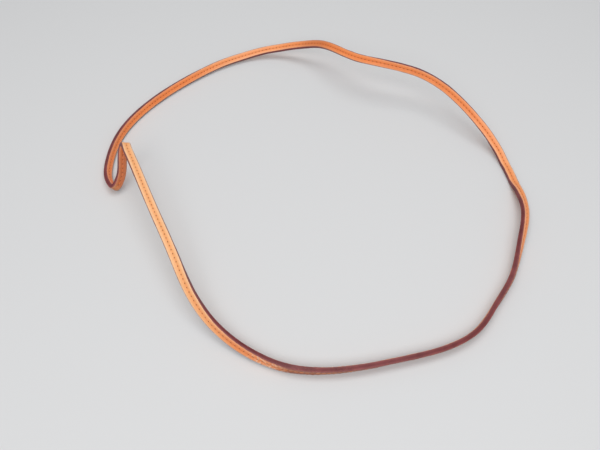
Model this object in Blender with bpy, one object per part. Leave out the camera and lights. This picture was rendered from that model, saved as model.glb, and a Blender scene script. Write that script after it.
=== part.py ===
# Flat neck strap of two tan leather strips sewn back to back, lying in one loose endless loop.
import bpy
import numpy as np

MM = 0.001

# Whole strap section
STRAP_WIDTH = 7.0 * MM
STRAP_THICKNESS = 3.7 * MM

# Edge paint along both long sides
COAT_THICKNESS = 0.2 * MM
COAT_GAP = 0.1 * MM
COAT_FOOT_HALF = 1.5 * MM
COAT_CROWN_HALF = 1.25 * MM

# Tape between the two leather strips
TAPE_WIDTH = 5.8 * MM
TAPE_THICKNESS = 0.16 * MM
TAPE_GAP = 0.12 * MM

# Leather strips: broken corners and the furrow the stitches pull in
CORNER_CUT = 0.3 * MM
FURROW_HALF = 0.6 * MM
FURROW_DEPTH = 0.55 * MM

# Thread rows lying in the furrows
THREAD_HALF = 0.22 * MM
THREAD_CROWN_DEPTH = 0.05 * MM
THREAD_MID_DEPTH = 0.18 * MM
THREAD_FOOT_DEPTH = 0.36 * MM

# Butt joints, where the two ends of each endless piece meet
JOINT_GAP = 0.3 * MM
FRONT_JOINT_AT = 4.0 * MM
BACK_JOINT_AT = 42.0 * MM
TAPE_JOINT_AT = 300.0 * MM
NEEDLE_JOINT_AT = 180.0 * MM
BOBBIN_JOINT_AT = 205.0 * MM
OUTER_COAT_JOINT_AT = 90.0 * MM
INNER_COAT_JOINT_AT = 110.0 * MM

# Fineness of the sweep: one ring for each of these lengths and angles
SAMPLE_STEP = 0.25 * MM
RING_LENGTH = 11.0 * MM
RING_TURN = np.radians(18.0)
RING_TWIST = np.radians(14.0)

# Route points of the turn and the fold, at the end and at the start of the list
FOLD_START = 4
FOLD_END = 3

# Point in the middle of the loop that the strap's outer edge leans away from
HUB_X = 0.0
HUB_Y = 55.0 * MM

# Centre line of the strap on the table: x, y, z in millimetres, lean of the outer edge in degrees
ROUTE = [
    (-146.8, 11.5, 31.0, 22),
    (-144.8, 7.6, 31.5, 18),
    (-140.8, -0.7, 30.8, 12),
    (-119.5, -44.2, 26.5, -4),
    (-96.5, -90.2, 21.0, -14),
    (-82.5, -117.2, 15.5, -36),
    (-65.3, -138.2, 8.8, -57),
    (-43.1, -154.6, 4.9, -70),
    (-15.9, -165.7, 3.68, -90),
    (12.6, -167.4, 3.72, -105),
    (58.6, -159.4, 3.74, -112),
    (112.1, -137.7, 3.72, -103),
    (128.1, -118.0, 3.6, -91),
    (142.6, -97.5, 4.5, -82),
    (155.2, -68.2, 7.0, -61),
    (164.9, -39.2, 8.4, -40),
    (166.5, -19.2, 6.0, -16),
    (165.5, -0.2, 1.85, 0),
    (163.3, 14.8, 1.85, 0),
    (158.2, 30.8, 6.2, 3),
    (148.9, 45.3, 14.0, 14),
    (131.6, 66.8, 24.0, 38),
    (113.1, 85.8, 30.5, 54),
    (90.6, 98.9, 34.8, 62),
    (60.6, 106.6, 38.0, 57),
    (41.6, 117.2, 35.5, 46),
    (27.6, 131.7, 32.0, 34),
    (11.6, 150.4, 25.3, 24),
    (-9.4, 161.5, 16.5, 20),
    (-35.4, 166.4, 8.5, 24),
    (-71.4, 156.9, 4.1, 36),
    (-112.1, 127.2, 3.75, 55),
    (-147.2, 86.6, 3.78, 67),
    (-164.3, 50.0, 3.76, 71),
    (-167.2, 14.8, 3.75, 64),
    (-160.8, -7.2, 4.1, 61),
    (-156.5, -11.2, 5.8, 54),
    (-152.8, -5.7, 9.5, 44),
    (-149.8, 8.2, 24.6, 28),
    (-148.3, 12.3, 28.9, 24),
]


def smooth_slopes(knots, values):
    # Slopes of the closed curve with continuous bending
    count = len(values)
    span = np.diff(knots)
    rise = (np.roll(values, -1) - values) / span
    matrix = np.zeros((count, count))
    target = np.zeros(count)
    for i in range(count):
        before = span[i - 1]
        after = span[i]
        matrix[i, (i - 1) % count] += after
        matrix[i, i] += 2 * (before + after)
        matrix[i, (i + 1) % count] += before
        target[i] = 3 * (after * rise[i - 1] + before * rise[i])
    return np.linalg.solve(matrix, target)


def level_slopes(knots, values):
    # Slopes that never overshoot, so equal neighbours stay exactly level
    span = np.diff(knots)
    rise = (np.roll(values, -1) - values) / span
    slopes = np.zeros(len(values))
    for i in range(len(values)):
        if rise[i - 1] * rise[i] > 0:
            first = 2 * span[i] + span[i - 1]
            second = span[i] + 2 * span[i - 1]
            slopes[i] = (first + second) / (first / rise[i - 1] + second / rise[i])
    return slopes


def read_curve(knots, values, slopes, at):
    count = len(values)
    i = np.clip(np.searchsorted(knots, at, side="right") - 1, 0, count - 1)
    span = knots[i + 1] - knots[i]
    u = (at - knots[i]) / span
    start = values[i] * (1 + 2 * u) * (1 - u) ** 2 + slopes[i] * span * u * (1 - u) ** 2
    j = (i + 1) % count
    end = values[j] * u * u * (3 - 2 * u) + slopes[j] * span * u * u * (u - 1)
    return start + end


def unit(vectors):
    return vectors / np.linalg.norm(vectors, axis=1)[:, None]


def strap_axes(centre, lean):
    # Along the strap, across its width, and out of its front face
    along = unit(np.roll(centre, -1, axis=0) - np.roll(centre, 1, axis=0))
    outward = np.stack([centre[:, 0] - HUB_X, centre[:, 1] - HUB_Y, np.zeros(len(centre))], axis=1)
    outward = unit(outward)
    across = outward * np.cos(lean)[:, None]
    across[:, 2] += np.sin(lean)
    across -= along * (across * along).sum(axis=1)[:, None]
    across = unit(across)
    return along, across, np.cross(across, along)


def strap_samples():
    # Fine samples of the closed route; heights never overshoot except round the turn and the fold
    table = np.array(ROUTE, dtype=float)
    points = table[:, :3] * MM
    lean_angles = np.radians(table[:, 3])
    closed = np.vstack([points, points[:1]])
    knots = np.concatenate([[0.0], np.cumsum(np.linalg.norm(np.diff(closed, axis=0), axis=1))])
    count = int(knots[-1] / SAMPLE_STEP)
    at = np.arange(count) * knots[-1] / count
    slopes = [smooth_slopes(knots, points[:, k]) for k in range(3)]
    gentle = level_slopes(knots, points[:, 2])
    slopes[2][FOLD_END:-FOLD_START] = gentle[FOLD_END:-FOLD_START]
    columns = [read_curve(knots, points[:, k], slopes[k], at) for k in range(3)]
    centre = np.stack(columns, axis=1)
    lean = read_curve(knots, lean_angles, level_slopes(knots, lean_angles), at)
    along, across, out = strap_axes(centre, lean)
    at_points = np.searchsorted(at, knots[:-1])
    return centre, along, across, out, at_points


def strap_rings():
    # Shared rings at every route point, and between them where the strap is long, bent or twisted
    centre, along, across, out, at_points = strap_samples()
    step = np.linalg.norm(np.roll(centre, -1, axis=0) - centre, axis=1)
    turn = np.arccos(np.clip((along * np.roll(along, -1, axis=0)).sum(axis=1), -1, 1))
    twist = np.abs((np.roll(across, -1, axis=0) * out).sum(axis=1))
    detail = np.concatenate([[0.0], np.cumsum(step / RING_LENGTH + turn / RING_TURN + twist / RING_TWIST)])
    pick = []
    for start, end in zip(at_points, [*at_points[1:], len(centre)]):
        pieces = max(1, int(round(detail[end] - detail[start])))
        wanted = detail[start] + (detail[end] - detail[start]) * np.arange(pieces) / pieces
        pick.extend(np.searchsorted(detail, wanted))
    travelled = np.concatenate([[0.0], np.cumsum(step)])[pick]
    return centre[pick], across[pick], out[pick], travelled


def sweep(name, section, joint_at, color, roughness):
    # One piece carried round the loop from its joint back to its joint
    centre, across, out, travelled = RINGS
    corners = np.array(section)
    rings = centre[:, None] + across[:, None] * corners[None, :, :1] + out[:, None] * corners[None, :, 1:]
    first = int(np.argmin(np.abs(travelled - joint_at)))
    rings = np.roll(rings, -first, axis=0)
    centre = np.roll(centre, -first, axis=0)
    stop = 1 - JOINT_GAP / np.linalg.norm(centre[0] - centre[-1])
    last = rings[-1] + (rings[0] - rings[-1]) * stop
    rings = np.concatenate([rings, last[None]])
    count, size = rings.shape[:2]
    faces = [tuple(range(size))]
    for i in range(count - 1):
        for j in range(size):
            k = (j + 1) % size
            a = i * size + j
            b = i * size + k
            if section[j] < section[k]:
                faces.append((a, a + size, b + size))
                faces.append((a, b + size, b))
            else:
                faces.append((a, a + size, b))
                faces.append((b, a + size, b + size))
    faces.append(tuple(reversed(range((count - 1) * size, count * size))))
    mesh = bpy.data.meshes.new(name)
    mesh.from_pydata(rings.reshape(-1, 3).tolist(), [], faces)
    mesh.update()
    material = bpy.data.materials.new(name + "_material")
    material.use_nodes = True
    shader = material.node_tree.nodes["Principled BSDF"]
    shader.inputs["Base Color"].default_value = (*color, 1.0)
    shader.inputs["Roughness"].default_value = roughness
    mesh.materials.append(material)
    piece = bpy.data.objects.new(name, mesh)
    bpy.context.scene.collection.objects.link(piece)


def turned_over(section):
    # The same section on the back of the strap
    return [(u, -v) for u, v in reversed(section)]


def other_side(section):
    # The same section on the inner edge of the strap
    return [(-u, v) for u, v in reversed(section)]


for old in list(bpy.data.objects):
    bpy.data.objects.remove(old, do_unlink=True)

RINGS = strap_rings()

HALF_WIDTH = STRAP_WIDTH / 2
FACE = STRAP_THICKNESS / 2
LEATHER_SIDE = HALF_WIDTH - COAT_THICKNESS - COAT_GAP
LEATHER_BACK = TAPE_THICKNESS / 2 + TAPE_GAP

# Leather strip, grain side out
strip = [
    (-LEATHER_SIDE, LEATHER_BACK),
    (LEATHER_SIDE, LEATHER_BACK),
    (LEATHER_SIDE, FACE - CORNER_CUT),
    (LEATHER_SIDE - CORNER_CUT, FACE),
    (FURROW_HALF, FACE),
    (0.0, FACE - FURROW_DEPTH),
    (-FURROW_HALF, FACE),
    (CORNER_CUT - LEATHER_SIDE, FACE),
    (-LEATHER_SIDE, FACE - CORNER_CUT),
]
sweep("front_strip", strip, FRONT_JOINT_AT, (0.78, 0.26, 0.065), 0.42)
sweep("back_strip", turned_over(strip), BACK_JOINT_AT, (0.73, 0.24, 0.06), 0.46)

# Bonding tape between the strips
tape = [
    (-TAPE_WIDTH / 2, -TAPE_THICKNESS / 2),
    (TAPE_WIDTH / 2, -TAPE_THICKNESS / 2),
    (TAPE_WIDTH / 2, TAPE_THICKNESS / 2),
    (-TAPE_WIDTH / 2, TAPE_THICKNESS / 2),
]
sweep("bonding_tape", tape, TAPE_JOINT_AT, (0.62, 0.56, 0.45), 0.8)

# Thread rows, one in each furrow
thread = [
    (THREAD_HALF, FACE - THREAD_MID_DEPTH),
    (0.0, FACE - THREAD_CROWN_DEPTH),
    (-THREAD_HALF, FACE - THREAD_MID_DEPTH),
    (0.0, FACE - THREAD_FOOT_DEPTH),
]
sweep("needle_thread", thread, NEEDLE_JOINT_AT, (0.55, 0.165, 0.04), 0.6)
sweep("bobbin_thread", turned_over(thread), BOBBIN_JOINT_AT, (0.55, 0.165, 0.04), 0.6)

# Edge paint, one bead along each long side
coat = [
    (HALF_WIDTH - COAT_THICKNESS, -COAT_FOOT_HALF),
    (HALF_WIDTH, -COAT_CROWN_HALF),
    (HALF_WIDTH, COAT_CROWN_HALF),
    (HALF_WIDTH - COAT_THICKNESS, COAT_FOOT_HALF),
]
sweep("edge_coat_outer", coat, OUTER_COAT_JOINT_AT, (0.17, 0.048, 0.048), 0.4)
sweep("edge_coat_inner", other_side(coat), INNER_COAT_JOINT_AT, (0.17, 0.048, 0.048), 0.4)
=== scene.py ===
import bpy
import numpy as np
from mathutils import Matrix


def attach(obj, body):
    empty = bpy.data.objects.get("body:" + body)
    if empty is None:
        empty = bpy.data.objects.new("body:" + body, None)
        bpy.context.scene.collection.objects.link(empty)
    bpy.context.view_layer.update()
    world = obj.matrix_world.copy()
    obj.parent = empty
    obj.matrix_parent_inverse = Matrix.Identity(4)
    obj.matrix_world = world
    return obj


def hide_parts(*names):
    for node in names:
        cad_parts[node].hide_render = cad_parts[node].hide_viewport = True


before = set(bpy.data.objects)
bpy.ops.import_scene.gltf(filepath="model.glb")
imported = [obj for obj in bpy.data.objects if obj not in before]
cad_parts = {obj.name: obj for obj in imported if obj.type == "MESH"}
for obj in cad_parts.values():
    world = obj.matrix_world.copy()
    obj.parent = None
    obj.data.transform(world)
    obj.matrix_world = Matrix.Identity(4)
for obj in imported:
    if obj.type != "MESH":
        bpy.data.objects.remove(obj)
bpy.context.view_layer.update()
bpy.ops.object.select_all(action="DESELECT")

# Front strip
# A narrow strip of tan cowhide, about 1.6 mm thick, with its grain side out and a tape glued behind it.
# One row of stitches pulls a furrow along its middle, and its two ends meet in a glued joint past the fold.
strap_route = [
    (-0.1468, 0.0115, 0.0310, 22),
    (-0.1448, 0.0076, 0.0315, 18),
    (-0.1408, -0.0007, 0.0308, 12),
    (-0.1195, -0.0442, 0.0265, -4),
    (-0.0965, -0.0902, 0.0210, -14),
    (-0.0825, -0.1172, 0.0155, -36),
    (-0.0653, -0.1382, 0.0088, -57),
    (-0.0431, -0.1546, 0.0049, -70),
    (-0.0159, -0.1657, 0.00368, -90),
    (0.0126, -0.1674, 0.00372, -105),
    (0.0586, -0.1594, 0.00374, -112),
    (0.1121, -0.1377, 0.00372, -103),
    (0.1281, -0.1180, 0.0036, -91),
    (0.1426, -0.0975, 0.0045, -82),
    (0.1552, -0.0682, 0.0070, -61),
    (0.1649, -0.0392, 0.0084, -40),
    (0.1665, -0.0192, 0.0060, -16),
    (0.1655, -0.0002, 0.00185, 0),
    (0.1633, 0.0148, 0.00185, 0),
    (0.1582, 0.0308, 0.0062, 3),
    (0.1489, 0.0453, 0.0140, 14),
    (0.1316, 0.0668, 0.0240, 38),
    (0.1131, 0.0858, 0.0305, 54),
    (0.0906, 0.0989, 0.0348, 62),
    (0.0606, 0.1066, 0.0380, 57),
    (0.0416, 0.1172, 0.0355, 46),
    (0.0276, 0.1317, 0.0320, 34),
    (0.0116, 0.1504, 0.0253, 24),
    (-0.0094, 0.1615, 0.0165, 20),
    (-0.0354, 0.1664, 0.0085, 24),
    (-0.0714, 0.1569, 0.0041, 36),
    (-0.1121, 0.1272, 0.00375, 55),
    (-0.1472, 0.0866, 0.00378, 67),
    (-0.1643, 0.0500, 0.00376, 71),
    (-0.1672, 0.0148, 0.00375, 64),
    (-0.1608, -0.0072, 0.0041, 61),
    (-0.1565, -0.0112, 0.0058, 54),
    (-0.1528, -0.0057, 0.0095, 44),
    (-0.1498, 0.0082, 0.0246, 28),
    (-0.1483, 0.0123, 0.0289, 24),
]
loop_middle = (0.0, 0.055)


def closed_slopes(knots, values):
    # Slopes of a closed curve whose bending never jumps
    count = len(values)
    span = np.diff(knots)
    rise = (np.roll(values, -1) - values) / span
    matrix = np.zeros((count, count))
    target = np.zeros(count)
    for i in range(count):
        matrix[i, (i - 1) % count] += span[i]
        matrix[i, i] += 2 * (span[i - 1] + span[i])
        matrix[i, (i + 1) % count] += span[i - 1]
        target[i] = 3 * (span[i] * rise[i - 1] + span[i - 1] * rise[i])
    return np.linalg.solve(matrix, target)


def level_slopes(knots, values):
    # Slopes that never overshoot, so that a stretch on the table stays on it
    span = np.diff(knots)
    rise = (np.roll(values, -1) - values) / span
    slopes = np.zeros(len(values))
    for i in range(len(values)):
        if rise[i - 1] * rise[i] > 0:
            first = 2 * span[i] + span[i - 1]
            second = span[i] + 2 * span[i - 1]
            slopes[i] = (first + second) / (first / rise[i - 1] + second / rise[i])
    return slopes


def read_curve(knots, values, slopes, at):
    count = len(values)
    i = np.clip(np.searchsorted(knots, at, side="right") - 1, 0, count - 1)
    j = (i + 1) % count
    span = knots[i + 1] - knots[i]
    u = (at - knots[i]) / span
    start = values[i] * (1 + 2 * u) * (1 - u) ** 2 + slopes[i] * span * u * (1 - u) ** 2
    return start + values[j] * u * u * (3 - 2 * u) + slopes[j] * span * u * u * (u - 1)


lay = np.array(strap_route)
closed = np.vstack([lay[:, :3], lay[:1, :3]])
knots = np.concatenate([[0.0], np.cumsum(np.linalg.norm(np.diff(closed, axis=0), axis=1))])
line_step = 0.00005
past_fold = 3
before_fold = -4
fine = np.arange(0.0, knots[-1], line_step)
slopes = [closed_slopes(knots, lay[:, k]) for k in range(3)]
slopes[2][past_fold:before_fold] = level_slopes(knots, lay[:, 2])[past_fold:before_fold]
line = np.stack([read_curve(knots, lay[:, k], slopes[k], fine) for k in range(3)], axis=1)
line = np.vstack([line, line[:1]])
lean = np.radians(read_curve(knots, lay[:, 3], level_slopes(knots, lay[:, 3]), fine))
lean = np.append(lean, lean[0])
travel = np.concatenate([[0.0], np.cumsum(np.linalg.norm(np.diff(line, axis=0), axis=1))])
strap_length = travel[-1]


def unit(vectors):
    return vectors / np.linalg.norm(vectors, axis=1)[:, None]


def strap_centre(at):
    return np.stack([np.interp(at % strap_length, travel, line[:, k]) for k in range(3)], axis=1)


def strap_frames(at):
    # Middle of the strap, its width direction and its front face's direction at each length along it
    reach = 0.0002
    centre = strap_centre(at)
    along = unit(strap_centre(at + reach) - strap_centre(at - reach))
    tilt = np.interp(at % strap_length, travel, lean)
    outward = np.stack([centre[:, 0] - loop_middle[0], centre[:, 1] - loop_middle[1], 0 * at], axis=1)
    across = unit(outward) * np.cos(tilt)[:, None]
    across[:, 2] += np.sin(tilt)
    across = unit(across - along * (across * along).sum(axis=1)[:, None])
    return centre, across, np.cross(across, along)


def strap_bend(at):
    # How sharply the strap curls towards its front face, as one over the radius
    reach = 0.0008
    after = unit(strap_centre(at + reach) - strap_centre(at))
    before = unit(strap_centre(at) - strap_centre(at - reach))
    return ((after - before) * strap_frames(at)[2]).sum(axis=1) / reach


stitches = 312
pitch = strap_length / stitches
ring_steps = np.array([0.0, 0.06, 0.13, 0.22, 0.36, 0.50, 0.64, 0.78, 0.87, 0.94])
ring_at = ((np.arange(stitches)[:, None] + ring_steps) * pitch).ravel()
ring_centre, ring_across, ring_out = strap_frames(ring_at)
ring_bend = strap_bend(ring_at)
chance = np.random.default_rng(7)


def slow_wave(at, shortest, longest, count=9):
    # Uneven wave along the endless strap, between about -1 and 1
    wave = np.zeros(len(at))
    for k in range(count):
        turns = round(strap_length / (shortest * (longest / shortest) ** chance.random()))
        wave += np.sin(2 * np.pi * (turns * at / strap_length + chance.random()))
    return wave / np.sqrt(count)


def swell(value, low, high):
    t = np.clip((value - low) / (high - low), 0, 1)
    return t * t * (3 - 2 * t)


def mesh_piece(name, points, faces, place, marks):
    # Piece mapped by the strap's own length and girth, with the marks that its finish reads
    mesh = bpy.data.meshes.new(name)
    mesh.from_pydata(points.reshape(-1, 3).tolist(), [], faces)
    mesh.shade_smooth()
    corner = np.zeros(len(mesh.loops), dtype=np.int32)
    mesh.loops.foreach_get("vertex_index", corner)
    mesh.uv_layers.new(name="strap_uv").data.foreach_set("uv", place[corner].ravel())
    for mark, values in marks.items():
        layer = mesh.attributes.new(mark, "FLOAT", "POINT")
        layer.data.foreach_set("value", values.ravel())
    piece = bpy.data.objects.new(name, mesh)
    bpy.context.scene.collection.objects.link(piece)
    return piece


joint_reach = 0.4


def strap_sweep(name, side, face, joint_at, marks):
    # Carries a section round the loop: side and face are its places at each ring, marks its painted values.
    # The last ring stops just short of the first one, as in a butt joint.
    rings, size = side.shape
    points = ring_centre[:, None] + ring_across[:, None] * side[..., None]
    points = points + ring_out[:, None] * face[..., None]
    first = int(np.argmin(np.abs(ring_at - joint_at)))
    order = (np.arange(rings + 1) + first) % rings
    points = points[order]
    points[-1] = points[-2] + (points[-1] - points[-2]) * joint_reach
    count = rings + 1
    i, j = np.meshgrid(np.arange(count - 1), np.arange(size), indexing="ij")
    k = (j + 1) % size
    quads = np.stack([i * size + j, i * size + size + j, i * size + size + k, i * size + k], axis=-1)
    faces = quads.reshape(-1, 4).tolist()
    faces.append(list(range(size)))
    faces.append(list(range(count * size - 1, (count - 1) * size - 1, -1)))
    width_step = np.hypot(np.diff(side.mean(axis=0)), np.diff(face.mean(axis=0)))
    over = np.tile(np.concatenate([[0.0], np.cumsum(width_step)]), count)
    past_joint = np.append(np.mod(ring_at[order[:-1]] - ring_at[first], strap_length), strap_length)
    along = np.repeat(joint_at + past_joint, size)
    ordered_marks = {mark: values[order] for mark, values in marks.items()}
    return mesh_piece(name, points, faces, np.stack([along, over], axis=1), ordered_marks)


strip_half_section = [
    (3.20, 0.20),
    (3.20, 1.30),
    (3.15, 1.52),
    (3.03, 1.69),
    (2.84, 1.80),
    (2.58, 1.85),
    (2.32, 1.83),
    (2.10, 1.795),
    (1.86, 1.80),
    (1.35, 1.80),
    (0.90, 1.775),
    (0.60, 1.725),
    (0.40, 1.66),
    (0.20, 1.60),
]
strip_section = strip_half_section + [(0.0, 1.58)] + [(-u, v) for u, v in reversed(strip_half_section)]
strip_section = np.array(strip_section) * 0.001
worn_from = 0.197
worn_to = 0.285
worn_ramp = 0.02
worn_start = swell(ring_at, worn_from, worn_from + worn_ramp)
worn_rings = worn_start * (1 - swell(ring_at, worn_to - worn_ramp, worn_to))
painted_shade_ramp = 0.024
pit_depth = 0.00030
dimple_depth = 0.00010
pillow_height = 0.00003
waviness = 0.00005
crease_height = 0.00008
crinkle_height = 0.00010
joint_dip = 0.00012
# Painted sheen: how much paler each stretch along the strap is painted where it catches the light
painted_sheen_at = [0.0, 0.004, 0.12, 0.168, 0.192, 0.24, 0.46, 0.54, 0.60, 0.75, 0.80, 0.85, 0.90, 1.085, 1.09]
painted_sheen_by = [0.5, 1.0, 1.0, 0.70, 0.18, 0.10, 0.25, 0.40, 0.05, 0.0, 0.30, 0.40, 0.0, 0.0, 0.5]


def leather_strip(name, facing, joint_at, painted_shade_stretches):
    # Strip on the front (facing 1) or the back (facing -1), with its furrow, stitch pits and creases
    side = np.tile(strip_section[:, 0] * facing, (len(ring_at), 1))
    face = np.tile(strip_section[:, 1], (len(ring_at), 1))
    near = np.abs((ring_at / pitch + 0.5) % 1 - 0.5)[:, None] * pitch
    upper = swell(face, 0.00125, 0.00145)
    rim = swell(np.abs(side), 0.0009, 0.0030) * upper
    border = swell(np.abs(side), 0.0021, 0.0026) * upper
    furrow = np.exp(-((side / 0.0006) ** 2)) * upper
    pit = np.exp(-((near / 0.00036) ** 4) - (side / 0.00036) ** 4) * upper
    painted_sheen = np.interp(ring_at, painted_sheen_at, painted_sheen_by)
    # Painted shade: stretches of the face are painted darker brown where they turn away from the light
    painted_shade = np.zeros(len(ring_at))
    for begin, end, depth in painted_shade_stretches:
        shade_step = depth * swell(ring_at, begin, begin + painted_shade_ramp)
        painted_shade += shade_step * (1 - swell(ring_at, end - painted_shade_ramp, end))
    curl = swell(ring_bend * facing, 50, 330)[:, None]
    # Paler on convex bends: stretched grain with a painted highlight, as on the crest of the fold
    stretch_and_highlight = swell(-ring_bend * facing, 30, 300)[:, None] * upper
    crease = np.sin(2 * np.pi * ring_at / 0.00125 + 2.2 * slow_wave(ring_at, 0.003, 0.012))[:, None]
    crinkle = (slow_wave(ring_at, 0.0022, 0.006) * worn_rings)[:, None]
    body = swell(np.abs(side), 0.0003, 0.0012) * upper
    face -= pit_depth * pit
    face -= dimple_depth * np.exp(-((near / 0.0009) ** 2) - (side / 0.0011) ** 2) * upper
    face += pillow_height * body * np.cos(2 * np.pi * (ring_at / pitch + 0.5))[:, None]
    face += waviness * body * slow_wave(ring_at, 0.012, 0.06)[:, None]
    face += crease_height * body * curl * crease
    face += crinkle_height * border * crinkle
    side *= 1 + 0.008 * slow_wave(ring_at, 0.02, 0.08)[:, None] + 0.004 * crinkle
    away = np.abs((ring_at - joint_at + strap_length / 2) % strap_length - strap_length / 2)[:, None]
    face -= joint_dip * upper * np.exp(-((away / 0.0004) ** 2))
    marks = {"rim": rim, "furrow": furrow, "pit": pit, "stretch_and_highlight": stretch_and_highlight}
    marks["worn"] = worn_rings[:, None] * np.ones_like(rim)
    marks["painted_sheen"] = painted_sheen[:, None] * np.ones_like(rim)
    marks["painted_shade"] = painted_shade[:, None] * np.ones_like(rim)
    return strap_sweep(name, side, face * facing, joint_at, marks)


def add_node(tree, kind, options=(), inputs=()):
    made = tree.nodes.new(kind)
    for key, value in options:
        setattr(made, key, value)
    for key, value in inputs:
        if isinstance(value, bpy.types.NodeSocket):
            tree.links.new(value, made.inputs[key])
        else:
            made.inputs[key].default_value = value
    return made


def painted(tree, mark):
    return add_node(tree, "ShaderNodeAttribute", [("attribute_name", mark)]).outputs["Fac"]


def over_colour(tree, amount, under, top):
    made = add_node(tree, "ShaderNodeMix", [("data_type", "RGBA")], [(0, amount), (6, under), (7, top)])
    return made.outputs[2]


def sums(tree, operation, first, second):
    return add_node(tree, "ShaderNodeMath", [("operation", operation)], [(0, first), (1, second)]).outputs[0]


def times(tree, first, second):
    return sums(tree, "MULTIPLY", first, second)


def spread(tree, value, low, high, to_low, to_high):
    inputs = [(0, value), (1, low), (2, high), (3, to_low), (4, to_high)]
    return add_node(tree, "ShaderNodeMapRange", (), inputs).outputs[0]


def strap_place(tree, shift):
    # The strap's own length and girth, in millimetres
    uv = add_node(tree, "ShaderNodeUVMap", [("uv_map", "strap_uv")]).outputs[0]
    scale = (1000.0, 1000.0, 1000.0)
    inputs = [(0, uv), (1, (shift, shift, shift)), (3, scale)]
    return add_node(tree, "ShaderNodeMapping", (), inputs).outputs[0]


def noise(tree, place, scale, detail, rough):
    inputs = [("Vector", place), ("Scale", scale), ("Detail", detail), ("Roughness", rough)]
    return add_node(tree, "ShaderNodeTexNoise", (), inputs).outputs[0]


def cell_edges(tree, place, scale):
    inputs = [("Vector", place), ("Scale", scale), ("Randomness", 1.0)]
    cells = add_node(tree, "ShaderNodeTexVoronoi", [("feature", "DISTANCE_TO_EDGE")], inputs)
    return cells.outputs["Distance"]


def add_bump(tree, shader, strength, distance, height):
    inputs = [("Strength", strength), ("Distance", distance), ("Height", height)]
    bump = add_node(tree, "ShaderNodeBump", (), inputs)
    tree.links.new(bump.outputs[0], shader.inputs["Normal"])


def new_finish(name):
    material = bpy.data.materials.new(name)
    material.use_nodes = True
    return material, material.node_tree, material.node_tree.nodes["Principled BSDF"]


rubbed_rim_and_highlight = (0.92, 0.62, 0.37, 1.0)
painted_shade_brown = (0.17, 0.042, 0.028, 1.0)
crackle_pale_and_glint = (0.90, 0.54, 0.30, 1.0)
chip_pale_and_glint = (0.93, 0.76, 0.56, 1.0)
stitch_hole = (0.26, 0.072, 0.022, 1.0)


def tan_leather(name, shift, tan, pale, deep):
    # Vegetable-tanned grain: mottled tan, paler rims (rubbed, with a painted highlight), painted highlight on
    # convex bends, painted shade in the furrow and stitch holes, painted sheen and painted shade along some
    # stretches, pores, fine crackle and chips with painted glints
    material, tree, shader = new_finish(name)
    place = strap_place(tree, shift)
    patina = noise(tree, place, 0.05, 3.0, 0.5)
    mottle = noise(tree, place, 0.55, 6.0, 0.62)
    fibre = noise(tree, place, 4.5, 3.0, 0.6)
    pores = cell_edges(tree, place, 1.7)
    crackle = cell_edges(tree, place, 0.75)
    tone = sums(tree, "ADD", times(tree, patina, 0.7), times(tree, mottle, 0.5))
    colour = over_colour(tree, spread(tree, tone, 0.38, 0.85, 0.0, 1.0), deep, tan)
    # Painted sheen: paler along the stretches that catch the light
    colour = over_colour(tree, times(tree, painted(tree, "painted_sheen"), 0.62), colour, pale)
    # Paler rims: rubbed grain with a painted highlight along the rounded edges, stronger under the painted
    # sheen
    rim_rub_and_highlight = times(tree, painted(tree, "rim"), spread(tree, mottle, 0.3, 0.7, 0.4, 0.8))
    rim_rub_and_highlight = times(tree, rim_rub_and_highlight, spread(tree, painted(tree, "painted_sheen"), 0.0, 1.0, 0.35, 1.0))
    colour = over_colour(tree, rim_rub_and_highlight, colour, rubbed_rim_and_highlight)
    # Painted highlight with stretched grain on convex bends
    colour = over_colour(tree, times(tree, painted(tree, "stretch_and_highlight"), 0.4), colour, pale)
    # Painted shade in the furrow
    colour = over_colour(tree, times(tree, painted(tree, "furrow"), 0.15), colour, deep)
    # Painted shade: darker brown along the given stretches
    colour = over_colour(tree, painted(tree, "painted_shade"), colour, painted_shade_brown)
    lines = spread(tree, crackle, 0.0, 0.09, 1.0, 0.0)
    # Worn marks are mostly left out under the painted shade
    unshaded = spread(tree, painted(tree, "painted_shade"), 0.0, 0.9, 1.0, 0.12)
    scuffed = times(tree, painted(tree, "worn"), unshaded)
    # Pale crackle on the worn stretch: cracked grain, with painted glints on the crinkles
    cracks_and_glints = times(tree, lines, scuffed)
    colour = over_colour(tree, cracks_and_glints, colour, crackle_pale_and_glint)
    # Pale chips on the worn stretch: scuffed grain, with painted glints on the crinkles
    chips_and_glints = times(tree, spread(tree, mottle, 0.53, 0.57, 0.0, 1.0), scuffed)
    colour = over_colour(tree, times(tree, scuffed, 0.45), colour, deep)
    colour = over_colour(tree, chips_and_glints, colour, chip_pale_and_glint)
    dots = spread(tree, pores, 0.0, 0.10, 0.18, 0.0)
    colour = over_colour(tree, dots, colour, deep)
    # Painted shade in the stitch holes
    colour = over_colour(tree, times(tree, painted(tree, "pit"), 0.85), colour, stitch_hole)
    tree.links.new(colour, shader.inputs["Base Color"])
    rough = sums(tree, "ADD", spread(tree, mottle, 0.25, 0.75, 0.36, 0.52), times(tree, cracks_and_glints, 0.2))
    tree.links.new(rough, shader.inputs["Roughness"])
    height = sums(tree, "ADD", spread(tree, pores, 0.0, 0.22, 0.0, 0.6), times(tree, fibre, 0.35))
    height = sums(tree, "SUBTRACT", height, times(tree, cracks_and_glints, 0.6))
    add_bump(tree, shader, 0.5, 0.00009, height)
    shader.inputs["Coat Weight"].default_value = 0.10
    shader.inputs["Coat Roughness"].default_value = 0.32
    return material


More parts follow.
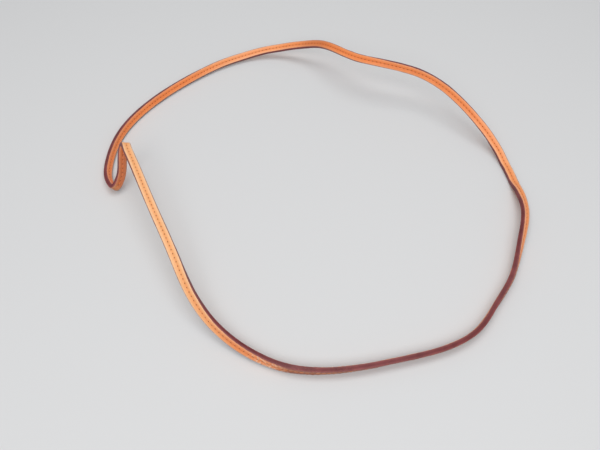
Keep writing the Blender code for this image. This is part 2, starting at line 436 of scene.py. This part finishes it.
# Each stretch of painted shade: where it begins and ends along the strap, and how deep the painted shade is
front_painted_shade = [(0.210, 0.440, 0.92), (0.730, 0.785, 0.30)]
front_joint = 0.004
front = leather_strip("tan_front_strip", 1, front_joint, front_painted_shade)
front_tan = (0.93, 0.260, 0.060, 1.0)
front_pale = (0.91, 0.550, 0.250, 1.0)
front_deep = (0.82, 0.205, 0.044, 1.0)
front.data.materials.append(tan_leather("tan_front_grain", 0.0, front_tan, front_pale, front_deep))
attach(front, "root")
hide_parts("front_strip")

# Back strip
# The same tan cowhide, laid back to back with the front strip so that the strap shows grain on both sides.
# It is glued and sewn through the same holes, and its ends meet further along than the front strip's.
# Painted shade on the back face of the stretch that rises to the fold
back_painted_shade = [(1.030, 1.100, 0.45)]
back_joint = 0.042
back = leather_strip("tan_back_strip", -1, back_joint, back_painted_shade)
back_tan = (0.87, 0.242, 0.058, 1.0)
back_pale = (0.88, 0.500, 0.220, 1.0)
back_deep = (0.72, 0.180, 0.040, 1.0)
back.data.materials.append(tan_leather("tan_back_grain", 31.0, back_tan, back_pale, back_deep))
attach(back, "root")
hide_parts("back_strip")

# Bonding tape
# A thin woven tape, glued between the two strips to hold them together and to stop them stretching.
# It is sealed inside and shows only as a thread of pale cloth in the joints.
tape_yarn = (0.66, 0.60, 0.49, 1.0)
tape_gap = (0.50, 0.44, 0.34, 1.0)
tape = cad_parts["bonding_tape"]
tape_cloth, tape_tree, tape_shader = new_finish("undyed_tape")
tape_spot = add_node(tape_tree, "ShaderNodeTexCoord").outputs["Object"]
tape_weave = add_node(tape_tree, "ShaderNodeTexVoronoi", (), [("Vector", tape_spot), ("Scale", 3000.0)])
tape_colour = over_colour(tape_tree, tape_weave.outputs["Distance"], tape_yarn, tape_gap)
tape_tree.links.new(tape_colour, tape_shader.inputs["Base Color"])
tape_shader.inputs["Roughness"].default_value = 0.85
tape.data.materials.clear()
tape.data.materials.append(tape_cloth)

# Needle thread
# Brown waxed thread on the front face, one lockstitch to each hole pitch along the middle furrow.
# Each stitch rises from one hole, lies in the furrow and dives into the next, a little aslant.
thread_radius = 0.00023
stitch_steps = np.array([0.03, 0.11, 0.24, 0.50, 0.76, 0.89, 0.97])
stitch_rise = np.array([1.20, 1.45, 1.60, 1.63, 1.60, 1.45, 1.20]) * 0.001
stitch_slant = np.array([0.07, 0.06, 0.04, 0.0, -0.04, -0.06, -0.07]) * 0.001
stitch_dive = np.array([1.0, 0.75, 0.0, 0.0, 0.0, 0.75, 1.0])
thread_sides = 6
uneven_tug = 0.05
uneven_sway = 0.00004
most_lift = 0.00005


def stitch_row(name, facing):
    # One short bent thread for each pair of holes, all in one mesh
    at = ((np.arange(stitches)[:, None] + stitch_steps) * pitch).ravel()
    centre, across, out = strap_frames(at)
    tug = 1 + uneven_tug * chance.standard_normal(stitches)[:, None]
    sway = uneven_sway * chance.standard_normal(stitches)[:, None]
    rise = (np.minimum(stitch_rise * tug, stitch_rise + most_lift)).ravel() * facing
    slant = (stitch_slant * tug + sway).ravel()
    middle = centre + across * slant[:, None] + out * rise[:, None]
    middle = middle.reshape(stitches, -1, 3)
    run = np.gradient(middle, axis=1)
    run /= np.linalg.norm(run, axis=2)[..., None]
    beside = across.reshape(run.shape)
    beside = beside - run * (beside * run).sum(axis=2)[..., None]
    beside /= np.linalg.norm(beside, axis=2)[..., None]
    above = np.cross(run, beside)
    turn = 2 * np.pi * (np.arange(thread_sides) + 0.5) / thread_sides
    ring = beside[:, :, None] * np.cos(turn)[:, None] + above[:, :, None] * np.sin(turn)[:, None]
    points = middle[:, :, None] + ring * thread_radius
    steps = len(stitch_steps)
    faces = []
    for s in range(stitches):
        start = s * steps * thread_sides
        for i in range(steps - 1):
            for j in range(thread_sides):
                a = start + i * thread_sides + j
                b = start + i * thread_sides + (j + 1) % thread_sides
                faces.append((a, b, b + thread_sides, a + thread_sides))
        faces.append(tuple(range(start + thread_sides - 1, start - 1, -1)))
        faces.append(tuple(range(start + (steps - 1) * thread_sides, start + steps * thread_sides)))
    along = np.repeat(at, thread_sides)
    over = np.tile(np.arange(thread_sides) * thread_radius, len(at))
    marks = {"dive": np.tile(np.repeat(stitch_dive, thread_sides), stitches)}
    marks["painted_sheen"] = np.repeat(np.interp(at, painted_sheen_at, painted_sheen_by), thread_sides)
    return mesh_piece(name, points, faces, np.stack([along, over], axis=1), marks)


ply_shade = (0.70, 0.195, 0.050, 1.0)
ply_crown = (0.86, 0.275, 0.075, 1.0)
soiled_thread = (0.60, 0.165, 0.043, 1.0)
sheen_thread = (0.91, 0.50, 0.21, 1.0)
thread_in_hole = (0.36, 0.100, 0.030, 1.0)


def waxed_thread(name, shift):
    # Twisted plies with a soft wax shine, soiled darker in places, painted sheen along some stretches,
    # painted shade and highlight across the plies, and painted shade with soil where it dives into the holes
    material, tree, shader = new_finish(name)
    place = strap_place(tree, shift)
    plies = add_node(tree, "ShaderNodeTexWave", [("bands_direction", "DIAGONAL")],
                     [("Vector", place), ("Scale", 1.6), ("Distortion", 0.6)]).outputs[1]
    soil = noise(tree, place, 0.3, 4.0, 0.6)
    # Painted shade between the plies and painted highlight on their crowns
    colour = over_colour(tree, plies, ply_shade, ply_crown)
    colour = over_colour(tree, spread(tree, soil, 0.4, 0.7, 0.0, 0.5), colour, soiled_thread)
    # Painted sheen: the thread is paler along the same stretches
    colour = over_colour(tree, times(tree, painted(tree, "painted_sheen"), 0.75), colour, sheen_thread)
    # Darker where it dives into the holes: painted shade and soil
    colour = over_colour(tree, painted(tree, "dive"), colour, thread_in_hole)
    tree.links.new(colour, shader.inputs["Base Color"])
    shader.inputs["Roughness"].default_value = 0.5
    add_bump(tree, shader, 0.7, 0.00006, plies)
    return material


needle = stitch_row("needle_stitches", 1)
needle.data.materials.append(waxed_thread("brown_needle_thread", 0.0))
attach(needle, "root")
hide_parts("needle_thread")

# Bobbin thread
# The same brown waxed thread on the back face, fed from below as the strap is sewn.
# It is locked with the needle thread inside every hole, so both faces show the same row of stitches.
bobbin = stitch_row("bobbin_stitches", -1)
bobbin.data.materials.append(waxed_thread("brown_bobbin_thread", 17.0))
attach(bobbin, "root")
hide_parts("bobbin_thread")

# Edge paint
# Burgundy edge paint brushed along both long sides, over the cut edges of both strips, in a rounded bead.
# A faint line still shows where the two strips meet, and the bead's lips are paler: rubbed thin, with a
# painted highlight.
bead_half_section = [
    (3.50, 0.45),
    (3.47, 1.00),
    (3.38, 1.38),
    (3.23, 1.61),
    (3.05, 1.715),
    (3.13, 1.46),
    (3.22, 1.26),
]
bead_section = [(u, -v) for u, v in reversed(bead_half_section)] + [(3.45, 0.0)] + bead_half_section
bead_section = np.array(bead_section) * 0.001
bead_lip = np.array([0.0, 0.6, 1.0, 0.7, 0.25, 0.05, 0.0, 0.0, 0.0, 0.05, 0.25, 0.7, 1.0, 0.6, 0.0])
bead_seam = np.array([0.0, 0.0, 0.0, 0.0, 0.0, 0.2, 0.6, 1.0, 0.6, 0.2, 0.0, 0.0, 0.0, 0.0, 0.0])


brushed_wave = 0.00004
brushed_ripple = 0.00003


def edge_bead(name, facing, joint_at):
    # Bead on the outer (facing 1) or the inner (facing -1) long side, uneven from the brush
    side = np.tile(bead_section[:, 0], (len(ring_at), 1))
    face = np.tile(bead_section[:, 1], (len(ring_at), 1))
    outer = swell(side, 0.00328, 0.00345)
    side += brushed_wave * outer * slow_wave(ring_at, 0.006, 0.04)[:, None]
    side += brushed_ripple * outer * slow_wave(ring_at, 0.0025, 0.006)[:, None] * (0.4 + worn_rings[:, None])
    face += brushed_wave * bead_lip * np.sign(face) * slow_wave(ring_at, 0.004, 0.03)[:, None]
    lip = np.tile(bead_lip, (len(ring_at), 1))
    seam = np.tile(bead_seam, (len(ring_at), 1))
    marks = {"lip": lip, "seam": seam, "worn": worn_rings[:, None] * np.ones_like(lip)}
    if facing < 0:
        side = -side[:, ::-1]
        face = face[:, ::-1]
        marks = {key: value[:, ::-1] for key, value in marks.items()}
    return strap_sweep(name, side, face, joint_at, marks)


thick_paint = (0.150, 0.028, 0.029, 1.0)
thin_paint = (0.240, 0.050, 0.051, 1.0)
seam_paint = (0.090, 0.020, 0.021, 1.0)
rubbed_lip_and_highlight = (0.46, 0.22, 0.19, 1.0)
flaked_patch = (0.44, 0.17, 0.10, 1.0)


def burgundy_paint(name, shift):
    # Satin paint film: slightly cloudy, a darker seam, paler lips (rubbed paint with a painted highlight),
    # and leather showing where it flaked
    material, tree, shader = new_finish(name)
    place = strap_place(tree, shift)
    cloud = noise(tree, place, 0.12, 4.0, 0.55)
    brush = noise(tree, place, 1.6, 4.0, 0.6)
    colour = over_colour(tree, spread(tree, cloud, 0.35, 0.65, 0.0, 1.0), thick_paint, thin_paint)
    colour = over_colour(tree, times(tree, painted(tree, "seam"), 0.45), colour, seam_paint)
    # Paler lips: rubbed paint with a painted highlight
    lip_rub_and_highlight = times(tree, painted(tree, "lip"), spread(tree, brush, 0.42, 0.58, 0.15, 0.75))
    colour = over_colour(tree, lip_rub_and_highlight, colour, rubbed_lip_and_highlight)
    flaked = times(tree, painted(tree, "worn"), spread(tree, brush, 0.59, 0.65, 0.0, 0.5))
    colour = over_colour(tree, flaked, colour, flaked_patch)
    tree.links.new(colour, shader.inputs["Base Color"])
    tree.links.new(spread(tree, brush, 0.3, 0.7, 0.30, 0.46), shader.inputs["Roughness"])
    shader.inputs["Specular IOR Level"].default_value = 0.3
    add_bump(tree, shader, 0.4, 0.00006, brush)
    return material


outer_bead = edge_bead("outer_edge_bead", 1, 0.090)
outer_bead.data.materials.append(burgundy_paint("burgundy_outer_paint", 5.0))
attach(outer_bead, "root")
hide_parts("edge_coat_outer")
inner_bead = edge_bead("inner_edge_bead", -1, 0.110)
inner_bead.data.materials.append(burgundy_paint("burgundy_inner_paint", 23.0))
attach(inner_bead, "root")
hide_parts("edge_coat_inner")

# Floor
# A plain pale sheet under the strap, matt and without any pattern.
# It lies a hair below the lowest edge, so that the strap rests on it and never sinks in.
bpy.ops.mesh.primitive_plane_add(size=12.0, location=(0.0, 0.0, -0.0002))
floor = bpy.context.object
floor.name = "pale_floor"
floor_paint, floor_tree, floor_shader = new_finish("pale_floor_paint")
floor_shader.inputs["Base Color"].default_value = (0.66, 0.66, 0.66, 1.0)
floor_shader.inputs["Roughness"].default_value = 0.9
floor.data.materials.append(floor_paint)

# Light
# One soft lamp almost straight above the loop and a wider one in front of it.
# An even, dim room fills in the shadows.
bpy.ops.object.light_add(type="AREA", location=(0.0, 0.20, 1.20), rotation=(np.radians(-9.5), 0.0, 0.0))
overhead_lamp = bpy.context.object
overhead_lamp.name = "overhead_soft_lamp"
overhead_lamp.data.shape = "RECTANGLE"
overhead_lamp.data.size = 1.2
overhead_lamp.data.size_y = 0.7
overhead_lamp.data.energy = 6.3
bpy.ops.object.light_add(type="AREA", location=(0.0, -0.95, 1.00), rotation=(np.radians(43.5), 0.0, 0.0))
front_lamp = bpy.context.object
front_lamp.name = "front_soft_lamp"
front_lamp.data.shape = "RECTANGLE"
front_lamp.data.size = 1.4
front_lamp.data.size_y = 0.8
front_lamp.data.energy = 10.2
room = bpy.data.worlds.new("grey_room")
room.use_nodes = True
room_light = room.node_tree.nodes["Background"]
room_light.inputs["Color"].default_value = (0.95, 0.97, 1.0, 1.0)
room_light.inputs["Strength"].default_value = 0.38
bpy.context.scene.world = room

# Camera
# Looks down on the loop from the near side, about 52 degrees above the floor.
# The whole loop fits in the frame.
bpy.ops.object.camera_add(location=(-0.0084, -0.3346, 0.3704), rotation=(np.radians(38.0), 0.0, 0.0))
camera = bpy.context.object
camera.data.lens = 36.42
camera.data.sensor_width = 36.0
bpy.context.scene.camera = camera
bpy.context.scene.view_settings.view_transform = "Standard"
